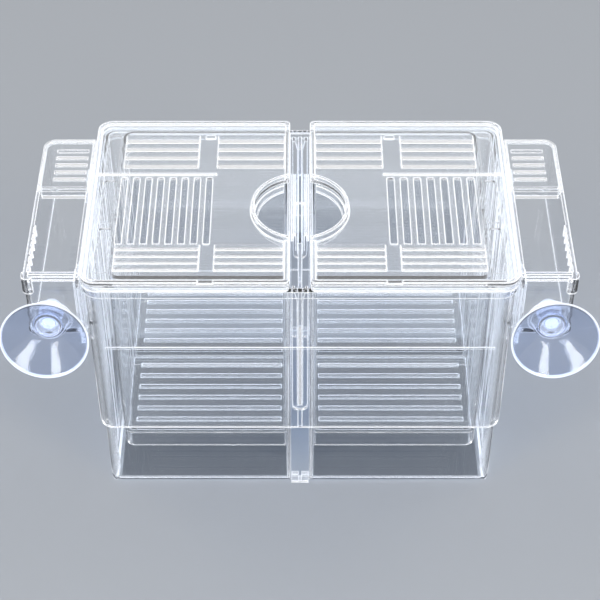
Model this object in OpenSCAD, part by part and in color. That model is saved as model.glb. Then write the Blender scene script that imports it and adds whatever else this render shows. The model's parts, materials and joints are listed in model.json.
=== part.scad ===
// Two-room fish breeding box in clear plastic.
// An open sleeve carries two deep rooms, a slotted nursery tray hangs in each room,
// and two side chambers with soft suction cups hang it on the aquarium glass.
// Origin: middle of the whole box, cups included, on the surface the rooms stand on. Front is -Y.

/* [Overall] */
// Width of the sleeve across both rooms
body_w = 200; // [180:1:230]
// Depth of the sleeve, front to back
body_d = 115; // [105:1:130]
// Height of the sleeve's rim above the room floors
body_h = 142.6; // [134:0.1:160]
// Height of the sleeve wall
sleeve_h = 96; // [80:1:100]
// Radius of the sleeve's upright corners
corner_r = 7.5; // [6:0.5:9]
// Free slot between the two rooms
gap_w = 9.4; // [8.6:0.1:12]

/* [Walls] */
// Sleeve wall
sleeve_wall = 2; // [1.6:0.1:2.6]
// Room wall
room_wall = 1.8; // [1.4:0.1:2.2]
// Room floor
room_floor = 2; // [1.4:0.1:3]
// Room wall beside the middle slot
room_gap_wall = 1.3; // [1.1:0.1:1.6]
// Tray wall
tray_wall = 1.6; // [1.2:0.1:2]
// Tray wall beside the middle slot
tray_gap_wall = 1.2; // [1:0.1:1.4]
// Clearance between pieces that lift apart
fit = 0.3; // [0.25:0.05:0.4]

/* [Rims] */
// Height of the band round the sleeve's rim
rim_h = 4; // [2:0.5:6]
// How far the band stands out
rim_out = 1; // [0.5:0.1:1.2]
// Height of the water line moulded across the sleeve's front
line_z = 104; // [90:0.5:120]
// Thickness of the room's hanging lip
lip_t = 1.3; // [1:0.1:2]
// How far the room's lip reaches over the sleeve
lip_out = 1.4; // [1:0.1:1.5]
// Thickness of the tray's flange
flange_t = 1.3; // [1:0.1:2]
// Fillet under the room
room_fillet = 5; // [3:0.5:5.5]

/* [Tray] */
// Height of the tray's lower edge above the floor
tray_z = 29; // [20:1:32]
// Width of the water channel beside the tray
channel_w = 7.4; // [6:0.2:12]
// Tray corner radius
tray_r = 5; // [3:0.5:6]
// Height of the ledge the slotted plates lie on
ledge_z = 39.7; // [36:0.1:44]
// Ledge width
ledge_w = 2; // [1.4:0.1:3]
// Ledge thickness
ledge_t = 2; // [1.4:0.1:3]
// Depth of the two cross bars under the plates' inner edges
bar_h = 3.4; // [2:0.2:8]
// Front edge of the rear plate, from the middle
fold_y = 3.7; // [0:0.1:5]
// Open slot between the plates that the fry drop through
drop_w = 5.2; // [3:0.1:6]
// Flow slits in the tray's outer wall
slit_n = 13; // [5:1:15]
// Slit width
slit_w = 1.6; // [1:0.1:2.4]
// Slit pitch
slit_pitch = 6.8; // [5.6:0.1:7]
// Slit lower end
slit_z0 = 58; // [50:1:70]
// Slit length
slit_h = 66; // [30:1:70]

/* [Slotted plates] */
// Plate thickness
plate_t = 1.6; // [1.2:0.1:2.4]
// Slots in a plate
plate_slots = 6; // [3:1:6]
// Slot width
plate_slot_w = 2; // [1.2:0.1:2.6]
// Plate margin beside the middle slot
plate_edge_in = 1.8; // [1.4:0.1:4]
// Plate margin at the outer wall
plate_edge_out = 4.2; // [3:0.1:8]
// First slot of the front plate, from its inner edge
front_first = 5.6; // [4:0.1:7]
// Last slot of the front plate, from the front edge
front_last = 7.1; // [4:0.1:9]
// First slot of the rear plate, from its inner edge
rear_first = 7.2; // [5:0.1:8]
// Last slot of the rear plate, from the rear edge
rear_last = 4.8; // [3:0.1:7]

/* [Lid] */
// Lid plate thickness
lid_t = 1.6; // [1.2:0.1:2.4]
// Lid skirt wall
skirt_t = 1.6; // [1.2:0.1:1.8]
// Radius of the lid's outer corners
lid_r = 7; // [6.5:0.5:7.5]
// Radius of the lid's corners at the middle slot
lid_in_r = 2.4; // [1:0.2:4]
// Width of the raised border
border_w = 2.2; // [1.4:0.1:3]
// Height of the raised border
border_h = 0.9; // [0.5:0.1:1.5]
// Air slots in the left lid
vents_left = 8; // [4:1:8]
// Air slots in the right lid
vents_right = 7; // [4:1:7]
// Air slot pitch in the left lid
vent_pitch_left = 5.9; // [5:0.1:6]
// Air slot pitch in the right lid
vent_pitch_right = 6.5; // [5:0.1:6.6]
// Air slot width in the left lid
vent_w_left = 2.9; // [2:0.1:3.4]
// Air slot width in the right lid
vent_w_right = 3.3; // [2:0.1:3.8]
// Air slot length
vent_l = 47; // [30:1:48]
// Middle of the air slots, from the middle of the lid
vent_y = -7.6; // [-9:0.1:-6]
// Width of a corrugation in the rear rib pack
rear_rib_w = 6.3; // [4:0.1:6.4]
// Width of a corrugation in the front rib pack
front_rib_w = 4.5; // [3:0.1:4.8]
// Corrugations in each pack
rib_n = 4; // [2:1:4]
// Corrugation height
rib_h = 1.3; // [0.6:0.1:1.8]

/* [Feeding opening] */
// Outer radius of the collar
collar_r = 23.5; // [18:0.5:24]
// Collar wall
collar_t = 1.6; // [1.2:0.1:2.4]
// Collar height above the lid
collar_up = 3; // [1:0.5:5]
// Collar depth below the lid
collar_down = 4.2; // [3:0.2:9]
// Narrowing of the collar towards its foot
collar_taper = 1.6; // [0.5:0.1:2]
// Middle of the opening, from the middle of the lid
collar_y = -7.4; // [-10:0.1:-6]

/* [Middle wall] */
// Middle wall thickness
spacer_t = 2; // [1.4:0.1:2.4]
// Width of the guide rails, outside
rail_w = 7.4; // [6:0.1:8]
// How far the rails stand out of the sleeve wall
rail_d = 3.4; // [2.4:0.1:5]
// Foot of the rails above the floor
rail_z = 58.5; // [50:0.5:80]
// Width of the rails' lead-in at the top
lead_w = 5; // [3.5:0.1:5.4]
// Depth of the rails' lead-in
lead_h = 6; // [3:0.5:10]
// Length of the pull grip
grip_l = 46; // [30:1:50]
// Height of the pull grip
grip_h = 11; // [8:0.5:12]
// Wall of the pull grip
grip_t = 1.2; // [0.8:0.1:1.6]

/* [Bottom clips] */
// Clip height
clip_h = 5.4; // [4:0.2:8]
// Clip depth
clip_d = 3.4; // [2:0.2:6]
// Clip slit width
clip_slit = 1.4; // [1:0.1:2]

/* [Side chambers] */
// Chamber width
ear_w = 25.8; // [24:0.2:34]
// Chamber height
ear_h = 35.6; // [30:0.2:42]
// Front of the chamber, behind the front of the sleeve
ear_front = 4; // [3:0.5:8]
// Chamber length
ear_l = 98.5; // [90:0.5:104]
// Chamber wall
ear_wall = 1.8; // [1.4:0.1:2.4]
// Chamber floor
ear_floor = 2; // [1.4:0.1:3]
// Radius of the rear outer corner
ear_r = 6; // [4:0.5:8]
// Slotted cover length
cover_l = 38; // [30:0.5:44]
// Cover thickness
cover_t = 1.6; // [1.2:0.1:2.4]
// Slots in the cover
cover_slots = 5; // [3:1:6]
// Cover slot width
cover_slot_w = 1.7; // [1:0.1:2.4]
// Cover slot pitch
cover_pitch = 5.3; // [4.4:0.1:5.4]
// Width of the hanging rail's stem
rail_stem_w = 2.4; // [1.6:0.1:3]
// Width of the hanging rail's head
rail_head_w = 5.6; // [5:0.1:7]

/* [Suction cups] */
// Cup radius
cup_r = 20.8; // [16:0.2:22]
// Length from the neck's middle to the cup's edge
cup_l = 22; // [19:0.5:25]
// Depth of the bowl
cup_depth = 11; // [8:0.5:12]
// Neck radius
neck_r = 3.5; // [3:0.1:3.8]
// Head radius
head_r = 6; // [5.2:0.1:6.4]
// Head length
head_l = 6.4; // [4:0.2:8]
// Radius of the hole the neck hangs in
cup_hole_r = 4.4; // [4.2:0.1:4.8]
// Upward rest angle of a loose cup
cup_tilt = 13; // [0:1:14]

/* [Hidden] */
$fn = 64;
eps = 0.01;
over = 1;
half_w = body_w / 2;
half_d = body_d / 2;
half_gap = gap_w / 2;
sleeve_z = body_h - sleeve_h;
line_h = 1.2;
line_out = 0.3;

// middle of the whole box, front to back
front_y = -half_d + ear_front + ear_wall / 2 - cup_l * cos(cup_tilt) - cup_r * sin(cup_tilt);
mid_y = (front_y + half_d + rim_out) / 2;

// room
room_x1 = half_w - sleeve_wall - fit;
room_y = half_d - sleeve_wall - fit;
room_r = corner_r - sleeve_wall - fit;
lip_z = body_h + fit;
lip_x1 = room_x1 + lip_out + 0.2;
lip_y = room_y + lip_out;
lip_r = corner_r - 1;
lip_in = 0.5;
room_top = lip_z + lip_t;
room_in_x0 = half_gap + room_gap_wall;
room_in_x1 = room_x1 - room_wall;
room_in_y = room_y - room_wall;
room_in_r = room_r - room_wall;

// tray
tray_x0 = room_in_x0 + fit;
tray_x1 = room_in_x1 - channel_w;
tray_y = room_in_y - fit;
tray_in_x0 = tray_x0 + tray_gap_wall;
tray_in_x1 = tray_x1 - tray_wall;
tray_in_y = tray_y - tray_wall;
flange_z = room_top + fit;
flange_top = flange_z + flange_t;
window_gap = 4;
window_n = 3;
window_pitch = 2 * tray_in_y / window_n;
window_l = window_pitch - window_gap;
window_w = channel_w - 2 * over;

// slotted plates
plate_z = ledge_z + fit;
plate_x0 = tray_in_x0 + fit;
plate_x1 = tray_in_x1 - fit;
plate_y = tray_in_y - fit;
plate_r = 0.9;
front_y0 = fold_y - drop_w;
front_pitch = (plate_y + front_y0 - front_first - front_last) / (plate_slots - 1);
rear_pitch = (plate_y - fold_y - rear_first - rear_last) / (plate_slots - 1);

// lid
lid_z = flange_top + fit;
lid_top = lid_z + lid_t;
lid_x0 = half_gap + fit;
lid_x1 = lip_x1 + fit + skirt_t;
lid_y = lip_y + fit + skirt_t;
skirt_z = body_h + fit;
vent_x = 44;
rear_rib_y0 = 22.7;
front_rib_y0 = -49.9;
rear_pack_b = 40.6;
rear_pack_a = 49.8;
front_pack_b = 39.9;
front_pack_a = 46.9;
pack_end = tray_in_x1 - 0.6;
pack_start = lid_x0 + border_w + 0.4;
cross_y = 18;
cross_w = 1.2;
cross_h = 0.8;
snap_x = 44.5;
snap_y = 46.2;
snap_l = 5;
snap_w = 2.6;
snap_h = 0.6;

// middle wall
spacer_slot = spacer_t / 2 + 0.25;
spacer_z = rail_z + rail_w / 2 + fit;
spacer_top = body_h - 1.6;
rail_top = body_h - 2;
grip_y = collar_y + 6.4;
grip_x = half_gap - 0.5;
grip_skirt = 4;
grip_dip = 0.8;
dip_l = 9;

// side chambers
ear_x0 = lid_x1 + 0.4;
ear_x1 = ear_x0 + ear_w;
ear_y0 = -half_d + ear_front;
ear_y1 = ear_y0 + ear_l;
ear_top = lid_top - 0.1;
ear_z = ear_top - ear_h;
seat_d = 2;
seat_w = 0.9;
bar_l = 3.5;
bracket_h = 9.6;
tick_h = 6;
tee_neck = 1;
tee_head = 1.2;
tee_x = ear_x0 + tee_neck + fit;
tee_x1 = tee_x + tee_head;
boss_x1 = tee_x1 + fit + 1.2;
boss_w = rail_head_w + 2 * fit + 2.6;
tee_y = [ear_y0 + 11, ear_y1 - 17];
tee_z0 = ear_z - 8;
tee_z1 = ear_top - 11.6;
tick_n = 6;
tick_pitch = 5;
foot_h = 9;

// covers
cover_x0 = ear_x0 + ear_wall - seat_w + fit;
cover_x1 = ear_x1 - ear_wall + seat_w - fit;
cover_y1 = ear_y1 - ear_wall + seat_w - fit;
cover_y0 = cover_y1 - cover_l;
cover_z = ear_top - seat_d + fit;
cover_lip = 4.4;
cover_drop = 2.9;

// suction cups
cup_x = ear_x0 + 15.7;
cup_z = ear_z + 9.5;
cup_y = ear_y0 + ear_wall / 2;
seat_s = 3.1;
boss_ring_r = 10.4;
boss_ring_w = 1.6;
boss_ring_h = 0.8;

// Puts a piece drawn for the right side on side s, 1 right or -1 left.
module on_side(s) {
    if (s < 0) mirror([1, 0, 0]) children();
    else children();
}

// Moves the sleeve's middle to its place in the whole box.
module placed(s = 1) {
    translate([0, -mid_y, 0]) on_side(s) children();
}

// Rounded rectangle; r lists the corner radii from (x0, y0) anticlockwise.
module plan(x0, x1, y0, y1, r) {
    polygon([[x0 + r[0], y0], [x1 - r[1], y0], [x1, y0 + r[1]], [x1, y1 - r[2]],
        [x1 - r[2], y1], [x0 + r[3], y1], [x0, y1 - r[3]], [x0, y0 + r[0]]]);
    translate([x0 + r[0], y0 + r[0]]) circle(r[0]);
    translate([x1 - r[1], y0 + r[1]]) circle(r[1]);
    translate([x1 - r[2], y1 - r[2]]) circle(r[2]);
    translate([x0 + r[3], y1 - r[3]]) circle(r[3]);
}

// Upright slab with rounded corners between two heights.
module slab(x0, x1, y0, y1, z0, z1, r) {
    translate([0, 0, z0]) linear_extrude(z1 - z0) plan(x0, x1, y0, y1, r);
}

// Box between two corners.
module block(a, b) {
    translate(a) cube(b - a);
}

// Tub form: rounded in plan and along its lower edges.
module tub(x0, x1, y0, y1, z0, z1, r, f_in, f_out) {
    intersection() {
        slab(x0, x1, y0, y1, z0, z1, r);
        translate([0, y1 + over, 0]) rotate([90, 0, 0]) linear_extrude(y1 - y0 + 2 * over)
            plan(x0, x1, z0, z1 + 2 * f_out, [f_in, f_out, f_out, f_in]);
        translate([x0 - over, 0, 0]) rotate([90, 0, 90]) linear_extrude(x1 - x0 + 2 * over)
            plan(y0, y1, z0, z1 + 2 * f_out, [f_out, f_out, f_out, f_out]);
    }
}

// Upright rail with a T head, rooted in the wall at x0.
module tee_rail(x0, y) {
    block([x0, y - rail_stem_w / 2, tee_z0], [tee_x + eps, y + rail_stem_w / 2, tee_z1]);
    block([tee_x, y - rail_head_w / 2, tee_z0], [tee_x1, y + rail_head_w / 2, tee_z1]);
}

// Channel the T rail runs in, open at its foot.
module tee_channel(y) {
    stem = rail_stem_w / 2 + fit;
    head = rail_head_w / 2 + fit;
    block([ear_x0 - over, y - stem, ear_z - over], [tee_x, y + stem, tee_z1 + fit]);
    block([tee_x - fit, y - head, ear_z - over], [tee_x1 + fit, y + head, tee_z1 + fit]);
}

// U-shaped pocket on the sleeve's inner wall that guides the middle wall.
module guide_pocket() {
    depth = rail_d + sleeve_wall / 2;
    difference() {
        translate([0, -half_d + sleeve_wall / 2 + depth, 0]) rotate([90, 0, 0]) linear_extrude(depth) {
            translate([0, rail_z + rail_w / 2]) circle(d = rail_w);
            translate([-rail_w / 2, rail_z + rail_w / 2]) square([rail_w, rail_top - rail_z - rail_w / 2]);
        }
        block([-spacer_slot, -half_d + sleeve_wall, rail_z + rail_w / 2],
            [spacer_slot, 0, rail_top + over]);
        translate([0, 0, rail_top]) rotate([90, 0, 0]) linear_extrude(half_d - sleeve_wall)
            polygon([[-lead_w / 2, over], [-lead_w / 2, 0], [-spacer_slot, -lead_h], [spacer_slot, -lead_h],
                [lead_w / 2, 0], [lead_w / 2, over]]);
    }
    block([-spacer_t / 2, -half_d + sleeve_wall / 2, sleeve_z],
        [spacer_t / 2, -half_d + sleeve_wall + over, rail_z + over]);
}

module sleeve() color([0.90, 0.93, 0.97, 0.35]) {
    r = corner_r;
    b = corner_r + rim_out;
    n = corner_r - sleeve_wall;
    difference() {
        union() {
            slab(-half_w, half_w, -half_d, half_d, sleeve_z, body_h, [r, r, r, r]);
            slab(-half_w - rim_out, half_w + rim_out, -half_d - rim_out, half_d + rim_out,
                body_h - rim_h, body_h, [b, b, b, b]);
        }
        slab(-half_w + sleeve_wall, half_w - sleeve_wall, -half_d + sleeve_wall,
            half_d - sleeve_wall, sleeve_z - over, body_h + over, [n, n, n, n]);
    }
    guide_pocket();
    mirror([0, 1, 0]) guide_pocket();
    block([-half_w + corner_r, -half_d - line_out, line_z], [half_w - corner_r, -half_d + eps, line_z + line_h]);
    for (s = [-1, 1], y = tee_y) on_side(s) tee_rail(half_w - sleeve_wall / 2, y);
}

module spacer() color([0.88, 0.92, 0.97, 0.35]) {
    y = half_d - sleeve_wall - fit;
    block([-spacer_t / 2, -y, spacer_z], [spacer_t / 2, y, spacer_top]);
}

// Cap that straddles the middle wall: two legs hug it and two short skirts run along the rooms.
module spacer_grip() color([0.92, 0.95, 0.99, 0.35]) {
    top = spacer_top + grip_h / 2;
    leg = spacer_t / 2 + grip_t;
    difference() {
        translate([0, grip_y, 0]) rotate([90, 0, 90]) translate([0, 0, -grip_x]) linear_extrude(2 * grip_x)
            plan(-grip_l / 2, grip_l / 2, top - grip_h, top, [1.5, 1.5, 3, 3]);
        block([-spacer_t / 2, grip_y - grip_l, top - grip_h - over],
            [spacer_t / 2, grip_y + grip_l, spacer_top]);
        for (s = [-1, 1]) on_side(s) {
            block([leg, grip_y - grip_l, top - grip_h - over], [grip_x + over, grip_y + grip_l, top - grip_skirt]);
            block([leg, grip_y - grip_l, top - grip_skirt - over],
                [grip_x - grip_t, grip_y + grip_l, top - grip_t]);
        }
        slab(-leg, leg, grip_y - dip_l, grip_y, top - grip_dip, top + over, [1, 1, 1, 1]);
    }
}

module room() color([0.90, 0.93, 0.97, 0.35]) {
    g = 1.2;
    gi = 0.6;
    difference() {
        union() {
            tub(half_gap, room_x1, -room_y, room_y, 0, room_top, [g, room_r, room_r, g], 1, room_fillet);
            slab(half_gap + lip_in, lip_x1, -lip_y, lip_y, lip_z, room_top, [g, lip_r, lip_r, g]);
        }
        tub(room_in_x0, room_in_x1, -room_in_y, room_in_y, room_floor, room_top + over,
            [gi, room_in_r, room_in_r, gi], gi, room_fillet - room_wall);
    }
}

module tray() color([0.92, 0.95, 0.99, 0.35]) {
    g = 1;
    h = 0.5;
    o = tray_r - tray_wall;
    difference() {
        union() {
            slab(tray_x0, tray_x1, -tray_y, tray_y, tray_z, flange_top, [g, tray_r, tray_r, g]);
            slab(half_gap + fit, lip_x1, -lip_y, lip_y, flange_z, flange_top, [g, lip_r, lip_r, g]);
        }
        difference() {
            slab(tray_in_x0, tray_in_x1, -tray_in_y, tray_in_y, tray_z - over, flange_top + over, [h, o, o, h]);
            block([tray_x0, -tray_y, ledge_z - ledge_t], [tray_x1, -tray_in_y + ledge_w, ledge_z]);
            block([tray_x0, tray_in_y - ledge_w, ledge_z - ledge_t], [tray_x1, tray_y, ledge_z]);
            block([tray_x0, fold_y, ledge_z - bar_h], [tray_x1, fold_y + ledge_w, ledge_z]);
            block([tray_x0, front_y0 - ledge_w, ledge_z - bar_h], [tray_x1, front_y0, ledge_z]);
        }
        for (i = [0 : window_n - 1])
            translate([0, (i - (window_n - 1) / 2) * window_pitch, 0])
                slab(tray_x1 + over, tray_x1 + over + window_w, -window_l / 2, window_l / 2,
                    flange_z - over, flange_top + over, [1, 1, 1, 1]);
        for (i = [0 : slit_n - 1])
            translate([0, (i - (slit_n - 1) / 2) * slit_pitch, 0])
                block([tray_in_x1 - over, -slit_w / 2, slit_z0], [tray_x1 + over, slit_w / 2, slit_z0 + slit_h]);
    }
}

// Slotted plate from y0 to y1 with corner radii r; its slots run from first by step.
module slotted_plate(y0, y1, r, first, step) {
    color([0.95, 0.97, 1, 0.35]) difference() {
        slab(plate_x0, plate_x1, y0, y1, plate_z, plate_z + plate_t, r);
        for (i = [0 : plate_slots - 1])
            translate([0, first + i * step, 0])
                block([plate_x0 + plate_edge_in, -plate_slot_w / 2, plate_z - over],
                    [plate_x1 - plate_edge_out, plate_slot_w / 2, plate_z + plate_t + over]);
    }
}

module plate_front() {
    o = tray_r - tray_wall;
    slotted_plate(-plate_y, front_y0, [plate_r, o, plate_r, plate_r], front_y0 - front_first, -front_pitch);
}

module plate_rear() {
    o = tray_r - tray_wall;
    slotted_plate(fold_y, plate_y, [plate_r, plate_r, o, plate_r], fold_y + rear_first, rear_pitch);
}

// Pack of rounded corrugations on the lid from y0 backwards, each w wide.
module rib_pack(x0, x1, y0, w) {
    r = (w * w / 4 + rib_h * rib_h) / (2 * rib_h);
    translate([x0, 0, 0]) rotate([90, 0, 90]) linear_extrude(x1 - x0) intersection() {
        union() for (i = [0 : rib_n - 1])
            translate([y0 + (i + 0.5) * w, lid_top + rib_h - r]) circle(r);
        translate([y0, lid_top - lid_t / 2]) square([rib_n * w, rib_h + lid_t]);
    }
}

// Half-round collar of the feeding opening.
module collar() {
    o = collar_r;
    i = collar_r - collar_t;
    foot = lid_z - collar_down;
    rotate_extrude() polygon([[i, lid_top + collar_up], [o, lid_top + collar_up], [o, lid_z],
        [o - collar_taper, foot], [i - collar_taper, foot], [i, lid_z]]);
}

// Lid with n air slots of width w at the given pitch.
module lid(n, pitch, w) {
    q = lid_r;
    color([0.93, 0.95, 0.98, 0.35]) difference() {
        union() {
            slab(lid_x0, lid_x1, -lid_y, lid_y, lid_z, lid_top, [lid_in_r, q, q, lid_in_r]);
            difference() {
                slab(lid_x0, lid_x1, -lid_y, lid_y, skirt_z, lid_top + border_h, [lid_in_r, q, q, lid_in_r]);
                slab(lid_x0 - over, lid_x1 - skirt_t, -lid_y + skirt_t, lid_y - skirt_t,
                    skirt_z - over, lid_z + over, [1, q - skirt_t, q - skirt_t, 1]);
                slab(lid_x0 + border_w, lid_x1 - border_w, -lid_y + border_w, lid_y - border_w,
                    lid_z, lid_top + border_h + over, [1, q - border_w, q - border_w, 1]);
                block([front_pack_b, -lid_y - over, lid_top],
                    [front_pack_a, -lid_y + border_w + over, lid_top + border_h + over]);
            }
            rib_pack(pack_start, rear_pack_b, rear_rib_y0, rear_rib_w);
            rib_pack(rear_pack_a, pack_end, rear_rib_y0, rear_rib_w);
            rib_pack(pack_start, front_pack_b, front_rib_y0, front_rib_w);
            rib_pack(front_pack_a, pack_end, front_rib_y0, front_rib_w);
            block([rear_pack_b, cross_y - cross_w / 2, lid_top - eps],
                [lid_x1 - border_w, cross_y + cross_w / 2, lid_top + cross_h]);
            slab(snap_x - snap_l / 2, snap_x + snap_l / 2, snap_y - snap_w / 2, snap_y + snap_w / 2,
                lid_top - eps, lid_top + snap_h, [0.8, 0.8, 0.8, 0.8]);
            intersection() {
                translate([0, collar_y, 0]) collar();
                union() {
                    block([lid_x0, -lid_y, lid_z], [lid_x1, lid_y, lid_top + collar_up + over]);
                    block([tray_in_x0 + fit, -lid_y, lid_z - collar_down - over], [lid_x1, lid_y, lid_z + eps]);
                }
            }
        }
        translate([0, collar_y, lid_z - over])
            cylinder(r = collar_r - collar_t, h = lid_t + collar_up + 2 * over);
        for (i = [0 : n - 1])
            translate([vent_x + i * pitch, vent_y, 0])
                slab(-w / 2, w / 2, -vent_l / 2, vent_l / 2, lid_z - over, lid_top + over, [0.6, 0.6, 0.6, 0.6]);
    }
}

// Slit clip that bridges the slot between the rooms at the floor.
module clip() color([0.95, 0.97, 1, 0.4]) {
    x = half_gap - fit;
    y = half_d - sleeve_wall - fit;
    difference() {
        block([-x, -y, fit], [x, -y + clip_d, fit + clip_h]);
        block([-clip_slit / 2, -y - over, fit + clip_h / 3], [clip_slit / 2, -y + clip_d + over, clip_h + over]);
    }
}

module chamber() color([0.90, 0.93, 0.97, 0.35]) {
    o = ear_r - ear_wall;
    difference() {
        union() {
            difference() {
                union() {
                    slab(ear_x0, ear_x1, ear_y0, ear_y1, ear_z, ear_top, [1, 2, ear_r, 1]);
                    slab(ear_x1 - 4, ear_x1 + 0.8, ear_y0 - 1.5, ear_y0 + bar_l, ear_top - bracket_h, ear_top,
                        [0.9, 2.4, 0.9, 0.9]);
                }
                slab(ear_x0 + ear_wall, ear_x1 - ear_wall, ear_y0 + ear_wall, ear_y1 - ear_wall,
                    ear_z + ear_floor, ear_top + over, [0.5, 0.8, o, 0.5]);
            }
            for (y = tee_y)
                block([ear_x0 + ear_wall - eps, y - boss_w / 2, ear_z], [boss_x1, y + boss_w / 2, tee_z1 + fit + 1.6]);
            block([ear_x0 + ear_wall - eps, ear_y0 + ear_wall - eps, ear_top - bar_h],
                [ear_x1 - ear_wall + eps, ear_y0 + bar_l, ear_top]);
            block([ear_x0, ear_y0 + 1.6, ear_z - foot_h], [ear_x0 + 2, ear_y0 + 7.6, ear_z + eps]);
            intersection() {
                translate([cup_x, ear_y0 - boss_ring_h, cup_z]) rotate([-90, 0, 0]) difference() {
                    cylinder(r = boss_ring_r, h = boss_ring_h + eps);
                    translate([0, 0, -over]) cylinder(r = boss_ring_r - boss_ring_w, h = boss_ring_h + 2 * over);
                }
                block([ear_x0, ear_y0 - over, ear_z], [ear_x1 - 2, ear_y0 + over, ear_top]);
            }
            for (i = [0 : tick_n - 1])
                translate([0, ear_y0 + 9.5 + i * tick_pitch, 0])
                    block([ear_x1 - ear_wall - 0.8, -0.6, ear_top - tick_h], [ear_x1 - ear_wall + eps, 0.6, ear_top]);
        }
        for (y = tee_y) tee_channel(y);
        translate([cup_x, ear_y0 - over, cup_z]) rotate([-90, 0, 0])
            cylinder(r = cup_hole_r, h = ear_wall + 2 * over);
        slab(ear_x0 + ear_wall - seat_w, ear_x1 - ear_wall + seat_w, cover_y0 - fit, cover_y1 + fit,
            ear_top - seat_d, ear_top + over, [0.3, 0.3, o + seat_w, 0.3]);
    }
}

module cover() color([0.93, 0.95, 0.98, 0.35]) {
    difference() {
        union() {
            slab(cover_x0, cover_x1, cover_y0, cover_y1, cover_z, cover_z + cover_t,
                [plate_r, plate_r, ear_r - ear_wall + seat_w - fit, plate_r]);
            block([ear_x0 + ear_wall + fit, cover_y0, cover_z - cover_drop],
                [ear_x1 - ear_wall - fit, cover_y0 + cover_lip, cover_z + eps]);
        }
        for (i = [0 : cover_slots - 1])
            translate([0, cover_y1 - 7.4 - i * cover_pitch, 0])
                block([cover_x0 + 1.9, -cover_slot_w / 2, cover_z - over],
                    [cover_x1 - 6, cover_slot_w / 2, cover_z + cover_t + over]);
    }
}

// Half outline of the cup: head, neck, shoulder, then the bowl between two arcs.
module cup_outline() {
    dome = head_l - 1.5;
    dome_r = (head_r * head_r + dome * dome) / (2 * dome);
    out_d = cup_depth + 2.2;
    out_r = (cup_r * cup_r + out_d * out_d) / (2 * out_d);
    in_c = cup_r - 0.8;
    in_r = (in_c * in_c + cup_depth * cup_depth) / (2 * cup_depth);
    intersection() {
        translate([0, -seat_s - head_l + dome_r]) circle(dome_r);
        translate([0, -seat_s - head_l - over]) square([head_r, dome + over]);
    }
    translate([0, -seat_s - 1.5 - eps]) square([head_r, 1.5 + eps]);
    translate([0, -seat_s - eps]) square([neck_r, 2 * seat_s + 2 * eps]);
    translate([0, seat_s]) square([head_r + 0.2, 2.4]);
    translate([0, seat_s + 2]) square([head_r - 0.8, cup_l - cup_depth - seat_s - 3.2]);
    intersection() {
        difference() {
            translate([0, cup_l - out_d + out_r]) circle(out_r);
            translate([0, cup_l - cup_depth + in_r]) circle(in_r);
        }
        square([cup_r + over, cup_l]);
    }
}

module suction_cup() color([0.74, 0.83, 0.97, 0.5])
    translate([cup_x, cup_y, cup_z]) rotate([90 - cup_tilt, 0, 0]) rotate_extrude() cup_outline();

placed() sleeve();
placed() spacer();
placed() spacer_grip();
placed(-1) room();  // room_left
placed(1) room();  // room_right
placed(-1) tray();  // tray_left
placed(1) tray();  // tray_right
placed(-1) plate_front();  // plate_front_left
placed(-1) plate_rear();  // plate_rear_left
placed(1) plate_front();  // plate_front_right
placed(1) plate_rear();  // plate_rear_right
placed(-1) lid(vents_left, vent_pitch_left, vent_w_left);  // lid_left
placed(1) lid(vents_right, vent_pitch_right, vent_w_right);  // lid_right
placed() clip();  // clip_front
placed() mirror([0, 1, 0]) clip();  // clip_rear
placed(-1) chamber();  // chamber_left
placed(1) chamber();  // chamber_right
placed(-1) cover();  // cover_left
placed(1) cover();  // cover_right
placed(-1) suction_cup();  // suction_cup_left
placed(1) suction_cup();  // suction_cup_right
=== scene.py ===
"""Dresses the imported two-room fish breeding box and sets it in a soft studio.

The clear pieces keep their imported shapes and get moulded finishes. The two suction cups are modelled here.
"""

import json
import logging
import math
from dataclasses import dataclass, field
from enum import Enum

import bpy
from mathutils import Matrix, Vector

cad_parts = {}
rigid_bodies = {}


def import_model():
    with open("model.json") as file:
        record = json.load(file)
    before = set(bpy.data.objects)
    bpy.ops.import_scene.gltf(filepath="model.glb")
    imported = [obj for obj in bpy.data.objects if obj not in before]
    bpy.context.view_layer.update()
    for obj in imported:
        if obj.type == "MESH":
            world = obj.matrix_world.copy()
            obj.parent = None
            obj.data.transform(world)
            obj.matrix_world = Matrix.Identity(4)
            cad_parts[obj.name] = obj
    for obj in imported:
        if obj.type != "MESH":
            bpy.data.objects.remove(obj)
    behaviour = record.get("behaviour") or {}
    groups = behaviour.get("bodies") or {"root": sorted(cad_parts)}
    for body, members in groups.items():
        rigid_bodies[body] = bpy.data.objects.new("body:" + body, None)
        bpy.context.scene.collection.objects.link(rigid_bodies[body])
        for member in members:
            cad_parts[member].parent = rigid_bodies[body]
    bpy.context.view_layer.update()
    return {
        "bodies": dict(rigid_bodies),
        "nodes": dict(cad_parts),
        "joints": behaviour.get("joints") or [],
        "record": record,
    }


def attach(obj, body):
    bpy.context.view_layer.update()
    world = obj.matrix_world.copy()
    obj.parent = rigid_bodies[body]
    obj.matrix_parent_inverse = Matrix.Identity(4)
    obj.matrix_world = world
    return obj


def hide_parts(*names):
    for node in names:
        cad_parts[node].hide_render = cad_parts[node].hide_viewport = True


LOG = logging.getLogger("breeding_box")
MM = 0.001
# a ray crosses many clear walls before it reaches the paper
BOUNCES = 40


class Side(Enum):
    """The two mirrored halves of the box."""

    LEFT = "left"
    RIGHT = "right"

    def named(self, stem: str) -> str:
        """Returns the name of this side's piece."""
        return f"{stem}_{self.value}"


def both(*stems: str) -> tuple[str, ...]:
    """Returns the names of the left and the right piece of each stem."""
    return tuple(side.named(stem) for stem in stems for side in Side)


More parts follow.
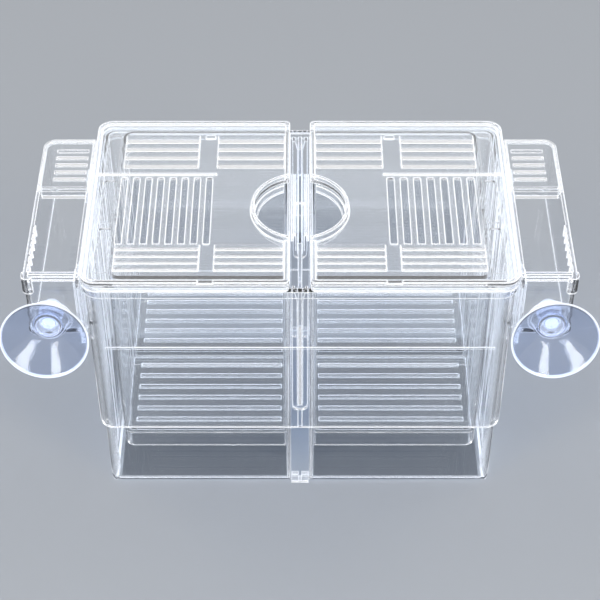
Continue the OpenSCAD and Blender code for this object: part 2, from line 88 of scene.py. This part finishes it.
def linear(hex_colour: str) -> tuple[float, float, float, float]:
    """Turns an sRGB hex colour into linear values, by the curve of the sRGB standard.

    Args:
        hex_colour: colour such as "#F2F6FB".

    Returns:
        Red, green, blue and alpha, linear.
    """
    parts = [int(hex_colour[i : i + 2], 16) / 255 for i in (1, 3, 5)]
    red, green, blue = (c / 12.92 if c <= 0.04045 else ((c + 0.055) / 1.055) ** 2.4 for c in parts)
    return (red, green, blue, 1.0)


def add_node(
    tree: bpy.types.NodeTree, kind: str, settings: dict | None = None, links: dict | None = None
) -> bpy.types.Node:
    """Adds a node with its settings and the links into it.

    Args:
        tree: node tree of a material.
        kind: Blender's node type name.
        settings: socket values by name or index, or node properties by name with a leading dot.
        links: output sockets by the name or index of the input socket they feed.

    Returns:
        The new node.
    """
    node = tree.nodes.new(kind)
    for key, value in (settings or {}).items():
        if isinstance(key, str) and key.startswith("."):
            setattr(node, key[1:], value)
        else:
            node.inputs[key].default_value = value
    for key, socket in (links or {}).items():
        tree.links.new(socket, node.inputs[key])
    return node


def blank_material(name: str) -> bpy.types.Material:
    """Makes a material with an empty node tree.

    Args:
        name: what the material is.

    Returns:
        The new material.
    """
    material = bpy.data.materials.new(name)
    material.use_nodes = True
    material.node_tree.nodes.clear()
    return material


def finish_clear(tree: bpy.types.NodeTree, body: bpy.types.NodeSocket, shade: str) -> None:
    """Lets lamps shine through a clear body, with a light shade, and links it to the output.

    Args:
        tree: the material's node tree.
        body: shader of the clear body.
        shade: colour of the light that passes one surface.
    """
    lamp_path = add_node(tree, "ShaderNodeLightPath").outputs["Is Shadow Ray"]
    clear = add_node(tree, "ShaderNodeBsdfTransparent", {"Color": linear(shade)})
    mix = add_node(tree, "ShaderNodeMixShader", {}, {0: lamp_path, 1: body, 2: clear.outputs["BSDF"]})
    add_node(tree, "ShaderNodeOutputMaterial", {}, {"Surface": mix.outputs["Shader"]})


@dataclass(frozen=True)
class PaintedPullMarkSheen:
    """Painted sheen in upright streaks, where the mould leaves marks on the end walls as the piece is pulled
    off it.

    Each pair of limits says where the marks begin to show and where they are full: in the noise that
    draws them, in how squarely a wall faces the box's end, and in how glancing the view of it is.
    """

    width_mm: float = 2.2
    squeeze: float = 0.035
    noise_detail: float = 2.0
    noise_limits: tuple[float, float] = (0.47, 0.6)
    end_limits: tuple[float, float] = (0.75, 0.95)
    glance_limits: tuple[float, float] = (0.62, 0.88)

    def mask(self, tree: bpy.types.NodeTree) -> bpy.types.NodeSocket:
        """Draws the streaks of painted sheen.

        Args:
            tree: the material's node tree.

        Returns:
            How white each point's streak is.
        """
        place = add_node(tree, "ShaderNodeTexCoord")
        # squeezed heights draw each spot of noise out into an upright streak
        squeezed = add_node(
            tree,
            "ShaderNodeMapping",
            {"Scale": (1.0, 1.0, self.squeeze)},
            {"Vector": place.outputs["Object"]},
        )
        noise = add_node(
            tree,
            "ShaderNodeTexNoise",
            {"Scale": 1 / (self.width_mm * MM), "Detail": self.noise_detail},
            {"Vector": squeezed.outputs["Vector"]},
        )
        streak = add_node(
            tree,
            "ShaderNodeMapRange",
            {"From Min": self.noise_limits[0], "From Max": self.noise_limits[1]},
            {"Value": noise.outputs["Fac"]},
        )
        facing = add_node(tree, "ShaderNodeSeparateXYZ", {}, {"Vector": place.outputs["Normal"]})
        sideways = add_node(tree, "ShaderNodeMath", {".operation": "ABSOLUTE"}, {0: facing.outputs["X"]})
        end_wall = add_node(
            tree,
            "ShaderNodeMapRange",
            {"From Min": self.end_limits[0], "From Max": self.end_limits[1]},
            {"Value": sideways.outputs["Value"]},
        )
        # painted sheen: the shallow marks are painted white only where the wall is seen at a glancing angle
        glance = add_node(tree, "ShaderNodeLayerWeight", {"Blend": 0.5})
        painted_glance_sheen = add_node(
            tree,
            "ShaderNodeMapRange",
            {"From Min": self.glance_limits[0], "From Max": self.glance_limits[1]},
            {"Value": glance.outputs["Facing"]},
        )
        lit = add_node(
            tree,
            "ShaderNodeMath",
            {".operation": "MULTIPLY"},
            {0: end_wall.outputs["Result"], 1: painted_glance_sheen.outputs["Result"]},
        )
        marks = add_node(
            tree,
            "ShaderNodeMath",
            {".operation": "MULTIPLY"},
            {0: streak.outputs["Result"], 1: lit.outputs["Value"]},
        )
        return marks.outputs["Value"]


@dataclass(frozen=True)
class PaintedFootHighlight:
    """Painted highlight: a white line low on the foot, where the rounded edge gathers light.

    It is strong along the front half and fades across the box's middle to a faint line behind.
    """

    low_mm: float = 0.5
    high_mm: float = 1.75
    painted_front_white: float = 0.9
    painted_rear_white: float = 0.1
    fade_mm: float = 10.0

    def mask(self, tree: bpy.types.NodeTree) -> bpy.types.NodeSocket:
        """Draws the painted highlight line.

        Args:
            tree: the material's node tree.

        Returns:
            How white each point is.
        """
        place = add_node(tree, "ShaderNodeTexCoord").outputs["Object"]
        split = add_node(tree, "ShaderNodeSeparateXYZ", {}, {"Vector": place})
        low, high = self.low_mm * MM, self.high_mm * MM
        line = add_node(
            tree,
            "ShaderNodeMath",
            {".operation": "COMPARE", 1: (low + high) / 2, 2: (high - low) / 2},
            {0: split.outputs["Z"]},
        )
        front = add_node(
            tree,
            "ShaderNodeMapRange",
            {
                "From Min": self.fade_mm * MM,
                "From Max": -self.fade_mm * MM,
                "To Min": self.painted_rear_white,
                "To Max": self.painted_front_white,
            },
            {"Value": split.outputs["Y"]},
        )
        shown = add_node(
            tree,
            "ShaderNodeMath",
            {".operation": "MULTIPLY"},
            {0: line.outputs["Value"], 1: front.outputs["Result"]},
        )
        return shown.outputs["Value"]


@dataclass(frozen=True)
class ClearPolystyrene:
    """Clear polystyrene from a polished mould.

    The gloss is sharp and slow flow waves bend what shows through. Every edge carries a painted highlight,
    a white line that glows, standing in for light that runs inside the walls. The edge limits are cosines
    of how far the shading normal turns at an edge: where the painted line begins and where it is full.
    """

    name: str
    edge_mm: float = 0.8
    # painted highlight along the edges: how white it is and how brightly it glows
    painted_edge_white: float = 0.9
    painted_edge_glow: float = 0.35
    # painted glow over the flat walls, a faint white that stands in for the sky seen in them
    painted_haze: float = 0.0
    # painted sheen streaks and painted highlight lines, laid over the walls
    marks: tuple[PaintedPullMarkSheen | PaintedFootHighlight, ...] = ()
    tint: str = "#FDFEFF"
    shade: str = "#F1F4F8"
    ior: float = 1.59
    roughness: float = 0.015
    wave_mm: float = 24.0
    wave_depth_mm: float = 0.03
    wave_detail: float = 1.0
    edge_samples: int = 4
    edge_limits: tuple[float, float] = (0.995, 0.8)
    # colour, glow and roughness of the painted highlight line
    painted_line_colour: str = "#FFFFFF"
    painted_line_glow: str = "#F1F5FF"
    line_roughness: float = 0.4

    def material(self) -> bpy.types.Material:
        """Builds the node tree.

        Returns:
            The finished material.
        """
        material = blank_material(self.name)
        tree = material.node_tree
        rounded = self._rounded_normal(tree)
        white = self._painted_edge_highlight(tree, rounded)
        shell = add_node(
            tree,
            "ShaderNodeBsdfPrincipled",
            {
                "Base Color": linear(self.tint),
                "IOR": self.ior,
                "Roughness": self.roughness,
                "Transmission Weight": 1.0,
            },
            {"Normal": rounded},
        )
        # painted highlight: a white surface that glows by its own emission
        line = add_node(
            tree,
            "ShaderNodeBsdfPrincipled",
            {
                "Base Color": linear(self.painted_line_colour),
                "Roughness": self.line_roughness,
                "Emission Color": linear(self.painted_line_glow),
                "Emission Strength": self.painted_edge_glow,
            },
        )
        # the painted streaks and foot line add to the painted edge white
        for mark in self.marks:
            whiter = add_node(
                tree, "ShaderNodeMath", {".operation": "MAXIMUM"}, {0: white, 1: mark.mask(tree)}
            )
            white = whiter.outputs["Value"]
        body = add_node(
            tree, "ShaderNodeMixShader", {}, {0: white, 1: shell.outputs["BSDF"], 2: line.outputs["BSDF"]}
        )
        finish_clear(tree, body.outputs["Shader"], self.shade)
        return material

    def _rounded_normal(self, tree: bpy.types.NodeTree) -> bpy.types.NodeSocket:
        """Waves the walls and rounds their edges in the shading.

        Args:
            tree: the material's node tree.

        Returns:
            The shading normal.
        """
        place = add_node(tree, "ShaderNodeTexCoord").outputs["Object"]
        # melt flow leaves waves a few centimetres long in a moulded wall
        flow = add_node(
            tree,
            "ShaderNodeTexNoise",
            {"Scale": 1 / (self.wave_mm * MM), "Detail": self.wave_detail},
            {"Vector": place},
        )
        wave = add_node(
            tree,
            "ShaderNodeBump",
            {"Strength": 1.0, "Distance": self.wave_depth_mm * MM},
            {"Height": flow.outputs["Fac"]},
        )
        # moulded edges are never quite sharp
        rounded = add_node(
            tree,
            "ShaderNodeBevel",
            {"Radius": self.edge_mm * MM, ".samples": self.edge_samples},
            {"Normal": wave.outputs["Normal"]},
        )
        return rounded.outputs["Normal"]

    def _painted_edge_highlight(self, tree: bpy.types.NodeTree, rounded: bpy.types.NodeSocket) -> bpy.types.NodeSocket:
        """Finds the edges, by how far the shading normal turns from the face, for the painted edge highlight.

        Args:
            tree: the material's node tree.
            rounded: the shading normal.

        Returns:
            How much painted white each point gets, from the faint painted glow of a flat wall to the painted
            highlight of an edge.
        """
        face = add_node(tree, "ShaderNodeNewGeometry").outputs["Normal"]
        turn = add_node(tree, "ShaderNodeVectorMath", {".operation": "DOT_PRODUCT"}, {0: rounded, 1: face})
        edge = add_node(
            tree,
            "ShaderNodeMapRange",
            {
                "From Min": self.edge_limits[0],
                "From Max": self.edge_limits[1],
                "To Min": self.painted_haze,
                "To Max": self.painted_edge_white,
            },
            {"Value": turn.outputs["Value"]},
        )
        return edge.outputs["Result"]


@dataclass(frozen=True)
class MilkAndGlowZone:
    """Where the vinyl turns milky white with a painted glow: full at one measure, and clear again at the
    other.
    """

    full_mm: float
    clear_mm: float
    milk_and_glow: float


@dataclass(frozen=True)
class SoftVinyl:
    """Soft plasticised vinyl: clear and bluish where it is thin, milky white with a painted glow where it is
    thick, and a painted highlight at the rim.

    The core and the lip are measured out from the cup's axis, the head along it from the pivot.
    """

    name: str
    pivot: Vector
    turn: Matrix
    tint: str = "#DCE6FB"
    shade: str = "#E3EAF7"
    ior: float = 1.53
    roughness: float = 0.07
    milk_colour: str = "#EEF3FF"
    # painted glow of the milky zones: colour and strength of their emission
    painted_glow_colour: str = "#E4ECFF"
    painted_glow_strength: float = 0.25
    milk_roughness: float = 0.3
    core: MilkAndGlowZone = MilkAndGlowZone(5.0, 6.6, 0.12)
    head: MilkAndGlowZone = MilkAndGlowZone(-3.0, -2.0, 0.75)
    # painted highlight: the thin rim is made white and glowing, as if lit
    lip: MilkAndGlowZone = MilkAndGlowZone(19.9, 19.6, 0.8)

    def material(self) -> bpy.types.Material:
        """Builds the node tree.

        Returns:
            The finished material.
        """
        material = blank_material(self.name)
        tree = material.node_tree
        milk_and_glow_mask = self._milk_and_glow_mask(tree)
        shell = add_node(
            tree,
            "ShaderNodeBsdfPrincipled",
            {
                "Base Color": linear(self.tint),
                "IOR": self.ior,
                "Roughness": self.roughness,
                "Transmission Weight": 1.0,
            },
        )
        # milky white that glows by its own emission, a painted glow on the thick parts and the rim
        milk_and_glow = add_node(
            tree,
            "ShaderNodeBsdfPrincipled",
            {
                "Base Color": linear(self.milk_colour),
                "Roughness": self.milk_roughness,
                "Emission Color": linear(self.painted_glow_colour),
                "Emission Strength": self.painted_glow_strength,
            },
        )
        body = add_node(
            tree, "ShaderNodeMixShader", {}, {0: milk_and_glow_mask, 1: shell.outputs["BSDF"], 2: milk_and_glow.outputs["BSDF"]}
        )
        finish_clear(tree, body.outputs["Shader"], self.shade)
        return material

    def _milk_and_glow_mask(self, tree: bpy.types.NodeTree) -> bpy.types.NodeSocket:
        """Finds the thick zones and the rim in the cup's own axes, for the milky white and its painted glow.

        Args:
            tree: the material's node tree.

        Returns:
            How much milky white and painted glow each point gets.
        """
        place = add_node(tree, "ShaderNodeTexCoord").outputs["Object"]
        back = self.turn.inverted()
        own = add_node(
            tree,
            "ShaderNodeMapping",
            {"Location": -(back @ self.pivot), "Rotation": back.to_euler()},
            {"Vector": place},
        )
        across = add_node(
            tree, "ShaderNodeVectorMath", {".operation": "MULTIPLY", 1: (1, 1, 0)}, {0: own.outputs["Vector"]}
        )
        radius = add_node(
            tree, "ShaderNodeVectorMath", {".operation": "LENGTH"}, {0: across.outputs["Vector"]}
        )
        along = add_node(tree, "ShaderNodeSeparateXYZ", {}, {"Vector": own.outputs["Vector"]})
        zones = (
            (self.core, radius.outputs["Value"]),
            (self.head, along.outputs["Z"]),
            (self.lip, radius.outputs["Value"]),
        )
        milk_and_glow_masks = [
            add_node(
                tree,
                "ShaderNodeMapRange",
                {"From Min": zone.clear_mm * MM, "From Max": zone.full_mm * MM, "To Max": zone.milk_and_glow},
                {"Value": measure},
            ).outputs["Result"]
            for zone, measure in zones
        ]
        milk_and_glow_mask = milk_and_glow_masks[0]
        for other in milk_and_glow_masks[1:]:
            whiter_zone = add_node(tree, "ShaderNodeMath", {".operation": "MAXIMUM"}, {0: milk_and_glow_mask, 1: other})
            milk_and_glow_mask = whiter_zone.outputs["Value"]
        return milk_and_glow_mask


@dataclass(frozen=True)
class PaperSweep:
    """Matt pale studio paper, with hardly any shine."""

    name: str = "matt pale paper"
    colour: str = "#999DA3"
    roughness: float = 0.9

    def material(self) -> bpy.types.Material:
        """Builds the node tree.

        Returns:
            The finished material.
        """
        material = blank_material(self.name)
        tree = material.node_tree
        paper = add_node(
            tree,
            "ShaderNodeBsdfPrincipled",
            {"Base Color": linear(self.colour), "Roughness": self.roughness},
        )
        add_node(tree, "ShaderNodeOutputMaterial", {}, {"Surface": paper.outputs["BSDF"]})
        return material


@dataclass
class MouldedPieces:
    """Packed clear pieces that share one mould finish."""

    nodes: tuple[str, ...]
    finish: ClearPolystyrene

    def dress(self, frame: dict) -> None:
        """Gives the pieces their finish.
        """
        material = self.finish.material()
        for name in self.nodes:
            mesh = frame["nodes"][name].data
            mesh.materials.clear()
            mesh.materials.append(material)
            LOG.info("%s: %s", name, self.finish.name)


@dataclass
class SuctionCup:
    """Soft suction cup: domed head, neck, root collar, and a flared bowl with a thin lip.

    Stations run along the cup's own axis, in millimetres from the neck's middle, with the radius there.
    Points closer than the weld are joined, and the smoothing is in levels of subdivision.
    """

    turns: int = 96
    tilt_deg: float = 13.0
    weld_mm: float = 0.001
    rim_share: float = 0.9
    smoothing: int = 1
    outside: tuple[tuple[float, float], ...] = (
        # domed head
        (-11.3, 1.2),
        (-11.0, 2.4),
        (-10.2, 3.7),
        (-8.9, 4.7),
        (-7.2, 5.25),
        (-5.0, 5.6),
        (-3.8, 5.5),
        (-3.45, 5.0),
        # neck
        (-3.4, 3.6),
        (-3.0, 3.4),
        (3.0, 3.4),
        (3.4, 3.6),
        # root collar
        (3.5, 5.4),
        (3.9, 6.1),
        (5.0, 6.15),
        (5.5, 5.8),
        # plug
        (5.8, 5.3),
        (7.6, 5.3),
        # bowl, out to the lip
        (8.7, 5.9),
        (9.7, 7.4),
        (11.9, 10.2),
        (13.9, 12.5),
        (15.8, 14.6),
        (18.5, 17.7),
        (21.0, 20.35),
        (21.6, 20.7),
        (21.95, 20.6),
    )
    inside: tuple[tuple[float, float], ...] = (
        # from the lip back to the bowl's floor
        (21.98, 19.9),
        (21.6, 19.4),
        (20.9, 18.7),
        (19.2, 16.8),
        (17.2, 14.5),
        (15.3, 12.2),
        (13.3, 9.8),
        (11.9, 8.0),
        (11.3, 6.6),
        (11.0, 4.6),
        (10.9, 2.4),
    )

    def build(self, frame: dict) -> None:
        """Models one cup, copies it to each side and puts the copies in place of their packed stand-ins.
        """
        pivots = {j["child"]: Vector(j["pos_m"]) for j in frame["joints"] if j["type"] == "hinge"}
        turn = Matrix.Rotation(math.radians(90 - self.tilt_deg), 4, "X")
        first = self._spun_body()
        for side in Side:
            name = side.named("suction_cup")
            bpy.ops.object.select_all(action="DESELECT")
            first.select_set(True)
            bpy.context.view_layer.objects.active = first
            bpy.ops.object.duplicate(linked=False)
            cup = bpy.context.object
            cup.name = side.named("soft_cup")
            cup.matrix_world = Matrix.Translation(pivots[name]) @ turn
            bpy.ops.object.transform_apply(location=True, rotation=True, scale=True)
            finish = SoftVinyl(f"soft bluish vinyl, {side.value}", pivots[name], turn)
            cup.data.materials.append(finish.material())
            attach(cup, name)
            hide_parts(name)
            LOG.info("%s: modelled over %s", cup.name, name)
        bpy.data.objects.remove(first)

    def _spun_body(self) -> bpy.types.Object:
        """Draws the cup round its own axis, ring by ring.

        Returns:
            The cup on its own axis, with the neck's middle at the origin and the bowl up.
        """
        rings = [(z * MM, r * MM) for z, r in self.outside + self.inside]
        height, radius = rings[0]
        bpy.ops.object.select_all(action="DESELECT")
        bpy.ops.mesh.primitive_circle_add(vertices=self.turns, radius=radius, location=(0, 0, height))
        cup = bpy.context.object
        bpy.ops.object.transform_apply(location=True, rotation=True, scale=True)
        bpy.ops.object.mode_set(mode="EDIT")
        bpy.ops.mesh.select_all(action="SELECT")
        bpy.ops.mesh.edge_face_add()
        bpy.ops.mesh.poke()
        bpy.ops.mesh.select_all(action="DESELECT")
        self._pick_rim(cup, radius)
        for next_height, next_radius in rings[1:]:
            bpy.ops.mesh.extrude_edges_move(TRANSFORM_OT_translate={"value": (0, 0, next_height - height)})
            grow = next_radius / radius
            bpy.ops.transform.resize(value=(grow, grow, 1), center_override=(0, 0, next_height))
            height, radius = next_height, next_radius
        bpy.ops.mesh.edge_face_add()
        bpy.ops.mesh.poke()
        bpy.ops.mesh.select_all(action="SELECT")
        bpy.ops.mesh.remove_doubles(threshold=self.weld_mm * MM)
        bpy.ops.mesh.normals_make_consistent(inside=False)
        bpy.ops.object.mode_set(mode="OBJECT")
        bpy.ops.object.modifier_add(type="SUBSURF")
        cup.modifiers["Subdivision"].levels = self.smoothing
        cup.modifiers["Subdivision"].render_levels = self.smoothing
        bpy.ops.object.modifier_apply(modifier="Subdivision")
        bpy.ops.object.shade_smooth()
        return cup

    def _pick_rim(self, cup: bpy.types.Object, radius: float) -> None:
        """Selects the rim of the first disc, which is all that lies beyond the rim's share of the radius.

        Args:
            cup: the mesh being drawn.
            radius: the disc's radius.
        """
        bpy.ops.object.mode_set(mode="OBJECT")
        points = cup.data.vertices
        for point in points:
            point.select = point.co.xy.length > self.rim_share * radius
        for edge in cup.data.edges:
            edge.select = all(points[i].select for i in edge.vertices)
        bpy.ops.object.mode_set(mode="EDIT")


@dataclass(frozen=True)
class SoftBox:
    """Studio lamp behind cloth, wide by tall, in metres."""

    name: str
    place: tuple[float, float, float]
    size: tuple[float, float]
    watts: float

    def hang(self, aim: Vector) -> None:
        """Adds the lamp.

        Args:
            aim: point that it faces.
        """
        lamp = bpy.data.lights.new(self.name, "AREA")
        lamp.shape = "RECTANGLE"
        lamp.size, lamp.size_y = self.size
        lamp.energy = self.watts
        holder = bpy.data.objects.new(self.name, lamp)
        holder.location = self.place
        holder.rotation_euler = (aim - Vector(self.place)).to_track_quat("-Z", "Y").to_euler()
        bpy.context.scene.collection.objects.link(holder)


@dataclass
class Studio:
    """Pale paper, soft lamps, even sky and the camera, with places in metres."""

    camera_place: tuple[float, float, float] = (0.0, -0.5933, 0.6827)
    pitch_deg: float = 45.0
    lens_mm: float = 100.5
    sensor_mm: float = 36.0
    paper_m: float = 8.0
    sky_colour: str = "#FFFFFF"
    sky_light: float = 0.8
    lamp_aim: tuple[float, float, float] = (0.0, 0.0, 0.08)
    lamps: tuple[SoftBox, ...] = (
        SoftBox("left rear softbox", (-0.95, 0.5, 1.2), (0.5, 0.5), 2.6),
        SoftBox("right rear softbox", (0.95, 0.5, 1.2), (0.5, 0.5), 2.6),
        SoftBox("left softbox", (-0.75, -0.7, 0.9), (0.3, 0.9), 6.0),
        SoftBox("right softbox", (0.75, -0.7, 0.9), (0.3, 0.9), 6.0),
    )

    def build(self) -> None:
        """Adds the paper, the lamps, the sky and the camera."""
        self._lay_paper()
        for lamp in self.lamps:
            lamp.hang(Vector(self.lamp_aim))
        self._open_sky()
        self._place_camera()

    def _lay_paper(self) -> None:
        """Lays a wide flat sheet under the box."""
        bpy.ops.object.select_all(action="DESELECT")
        bpy.ops.mesh.primitive_plane_add(size=self.paper_m, location=(0, 0, 0))
        paper = bpy.context.object
        paper.name = "paper"
        paper.data.materials.append(PaperSweep().material())

    def _open_sky(self) -> None:
        """Lights the box evenly from all round."""
        world = bpy.data.worlds.new("even sky")
        world.use_nodes = True
        sky = world.node_tree.nodes["Background"].inputs
        sky["Color"].default_value = linear(self.sky_colour)
        sky["Strength"].default_value = self.sky_light
        bpy.context.scene.world = world

    def _place_camera(self) -> None:
        """Sets the camera that looks down at the front."""
        data = bpy.data.cameras.new("view")
        data.lens = self.lens_mm
        data.sensor_width = self.sensor_mm
        camera = bpy.data.objects.new("view", data)
        camera.location = self.camera_place
        camera.rotation_euler = (math.radians(90 - self.pitch_deg), 0, 0)
        bpy.context.scene.collection.objects.link(camera)
        bpy.context.scene.camera = camera


@dataclass
class BreedingBox:
    """The whole box: which finish each moulded piece gets, and the cups."""

    pieces: tuple[MouldedPieces, ...] = (
        # the outermost walls: painted bright edges and painted sheen in streaks on the ends
        MouldedPieces(
            ("sleeve",),
            ClearPolystyrene("clear polystyrene, outer sleeve", painted_edge_glow=0.45, marks=(PaintedPullMarkSheen(),)),
        ),
        # thick walls: broad painted edge highlights, painted streaks on the ends and a painted white line
        # along the foot
        MouldedPieces(
            both("room"),
            ClearPolystyrene(
                "clear polystyrene, deep rooms", edge_mm=1.0, painted_edge_glow=0.6, marks=(PaintedPullMarkSheen(), PaintedFootHighlight())
            ),
        ),
        # thin walls: fine, faint painted edge highlights that stay behind the rooms' edges
        MouldedPieces(
            both("tray"),
            ClearPolystyrene(
                "clear polystyrene, thin tray walls",
                edge_mm=0.4,
                painted_edge_white=0.5,
                painted_edge_glow=0.2,
                marks=(PaintedPullMarkSheen(),),
            ),
        ),
        # many narrow slots: the cut edges get the brightest painted glow of all
        MouldedPieces(
            both("plate_front", "plate_rear"),
            ClearPolystyrene(
                "clear polystyrene, slotted plates", edge_mm=0.6, painted_edge_white=1.0, painted_edge_glow=1.2
            ),
        ),
        # close ribs: broad painted white edges over a faint painted glow
        MouldedPieces(
            both("lid"),
            ClearPolystyrene("clear polystyrene, ribbed lids", edge_mm=1.15, painted_edge_white=0.93, painted_haze=0.03),
        ),
        # thin flat plates: fine painted edges, with all but no painted glow over the walls
        MouldedPieces(
            both("cover"),
            ClearPolystyrene("clear polystyrene, thin covers", edge_mm=0.6, painted_haze=0.01),
        ),
        # stout mouldings: broad painted edge highlights
        MouldedPieces(
            ("spacer", "spacer_grip") + both("chamber"),
            ClearPolystyrene("clear polystyrene, hung fittings", edge_mm=1.1, painted_edge_glow=0.6),
        ),
        # small clips: a light painted glow over the walls keeps them in sight
        MouldedPieces(
            ("clip_front", "clip_rear"),
            ClearPolystyrene("clear polystyrene, small clips", edge_mm=0.6, painted_edge_glow=0.3, painted_haze=0.1),
        ),
    )
    cup: SuctionCup = field(default_factory=SuctionCup)

    def build(self, frame: dict) -> None:
        """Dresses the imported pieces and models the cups.
        """
        for group in self.pieces:
            group.dress(frame)
        self.cup.build(frame)


def main() -> None:
    """Builds the box and the studio."""
    logging.basicConfig(level=logging.INFO, format="%(message)s")
    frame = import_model()
    scene = bpy.context.scene
    scene.cycles.max_bounces = BOUNCES
    scene.cycles.transmission_bounces = BOUNCES
    scene.cycles.transparent_max_bounces = BOUNCES
    scene.view_settings.view_transform = "Standard"
    BreedingBox().build(frame)
    Studio().build()


if __name__ == "__main__":
    main()
